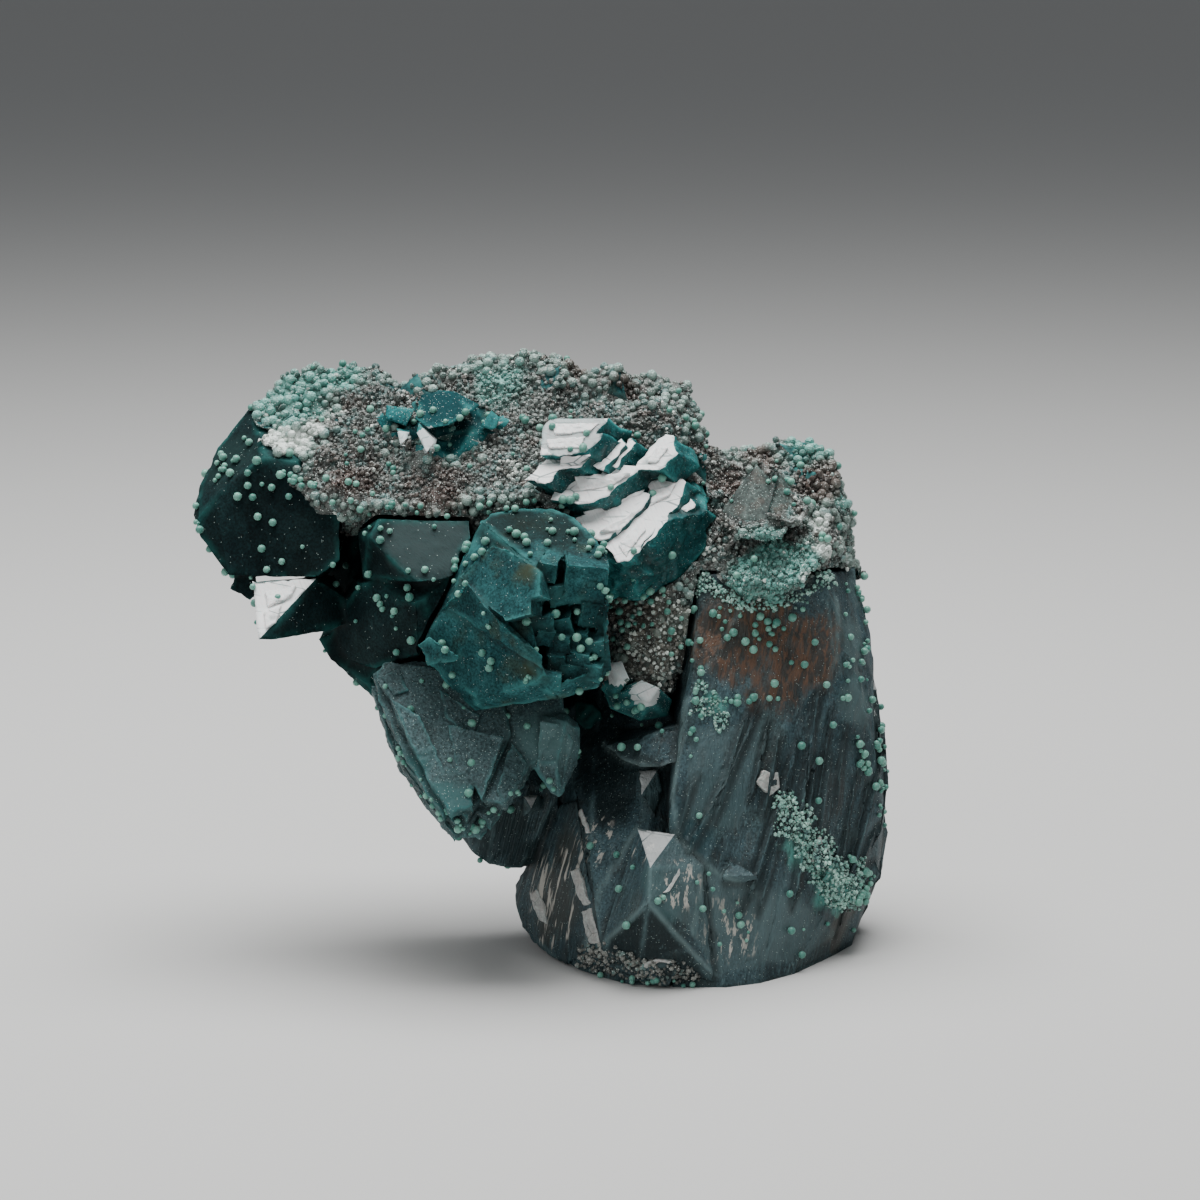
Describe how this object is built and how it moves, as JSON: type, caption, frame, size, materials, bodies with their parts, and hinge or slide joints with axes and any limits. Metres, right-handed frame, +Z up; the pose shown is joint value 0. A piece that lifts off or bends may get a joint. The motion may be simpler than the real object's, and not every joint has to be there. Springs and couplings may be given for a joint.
{
  "type": "mineral specimen",
  "caption": "Apophyllite mineral specimen: a standing crystal cut flat at its foot, carrying an arm of grown teal crystals under a rough druse crust.",
  "frame": {"origin": "middle of the flat face that the foot of the standing crystal is cut off on", "axes": "+Z up; +X from the arm's end towards the standing crystal; +Y away from the viewer, into the back of the specimen"},
  "size_m": [0.1112, 0.0592, 0.0942],
  "materials": {
    "standing_crystal": "vitreous crystal with fine upright growth lines, slate blue with a rust brown zone under the crust",
    "stepped_crystal": "pearly, flat growth terraces that gleam, over translucent teal sides",
    "pitted_crystal": "satin, translucent teal crystal with lighter edges",
    "fan_crystal": "satin, fine-grained grey-teal plates",
    "arm_end_crystals": "vitreous, deep teal crystal with lighter edges",
    "druse_crust": "rough druse of fine grains, grey-teal, turquoise, white and brown"
  },
  "bodies": {
    "root": {"standing_crystal": "standing_crystal", "stepped_crystal": "stepped_crystal", "pitted_crystal": "pitted_crystal", "fan_crystal": "fan_crystal", "arm_end_crystals": "arm_end_crystals", "druse_crust": "druse_crust"}
  },
  "joints": []
}
